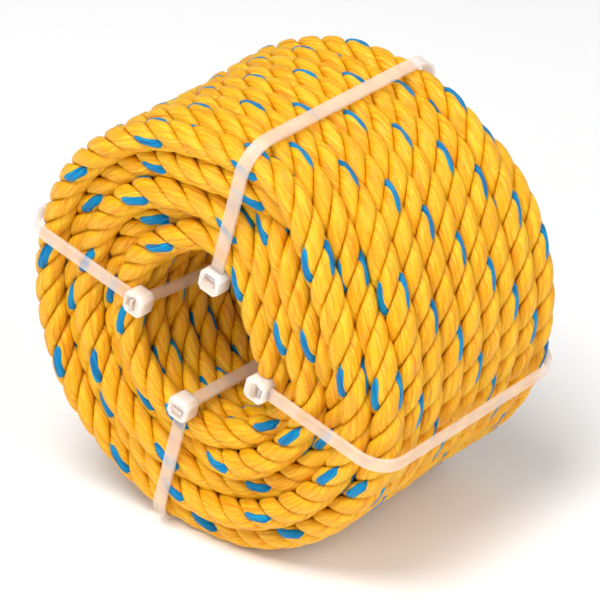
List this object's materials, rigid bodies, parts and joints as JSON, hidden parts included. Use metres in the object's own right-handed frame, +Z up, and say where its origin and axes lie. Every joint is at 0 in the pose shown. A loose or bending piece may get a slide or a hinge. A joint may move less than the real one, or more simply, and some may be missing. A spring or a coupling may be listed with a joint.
{
  "type": "coil of laid rope",
  "caption": "Hollow barrel-wound coil of three-strand yellow rope with blue marker yarns, lying on its side and held by nylon cable ties through its bore.",
  "frame": {"origin": "middle of the strip that the coil lies on, below the middle of the coil's width", "axes": "+Z up, +Y along the coil's axis away from the face with the tie heads, +X to the right as that face is seen"},
  "size_m": [0.116, 0.0753, 0.1155],
  "materials": {
    "yarn_yellow": "satin",
    "yarn_blue": "satin",
    "nylon": "satin"
  },
  "bodies": {
    "tied_coil": {"rope_coil": "yarn_yellow", "tie_right": "nylon", "tie_top": "nylon", "tie_left": "nylon", "tie_bottom": "nylon"},
    "right_pawl": {"pawl_right": "nylon"},
    "top_pawl": {"pawl_top": "nylon"},
    "left_pawl": {"pawl_left": "nylon"},
    "bottom_pawl": {"pawl_bottom": "nylon"}
  },
  "joints": [
    {"name": "right_pawl_flex", "type": "hinge", "parent": "tied_coil", "child": "right_pawl", "pos_m": [0.02086, -0.0348, 0.05174], "axis": [0.2672, 0, 0.9636], "range_deg": [0, 14], "stiffness_Nm_per_rad": 0.0005},
    {"name": "top_pawl_flex", "type": "hinge", "parent": "tied_coil", "child": "top_pawl", "pos_m": [0.00579, -0.0348, 0.07839], "axis": [-0.9636, 0, 0.2672], "range_deg": [0, 14], "stiffness_Nm_per_rad": 0.0005},
    {"name": "left_pawl_flex", "type": "hinge", "parent": "tied_coil", "child": "left_pawl", "pos_m": [-0.02086, -0.0348, 0.06331], "axis": [-0.2672, 0, -0.9636], "range_deg": [0, 14], "stiffness_Nm_per_rad": 0.0005},
    {"name": "bottom_pawl_flex", "type": "hinge", "parent": "tied_coil", "child": "bottom_pawl", "pos_m": [-0.00579, -0.0348, 0.03667], "axis": [0.9636, 0, -0.2672], "range_deg": [0, 14], "stiffness_Nm_per_rad": 0.0005}
  ]
}
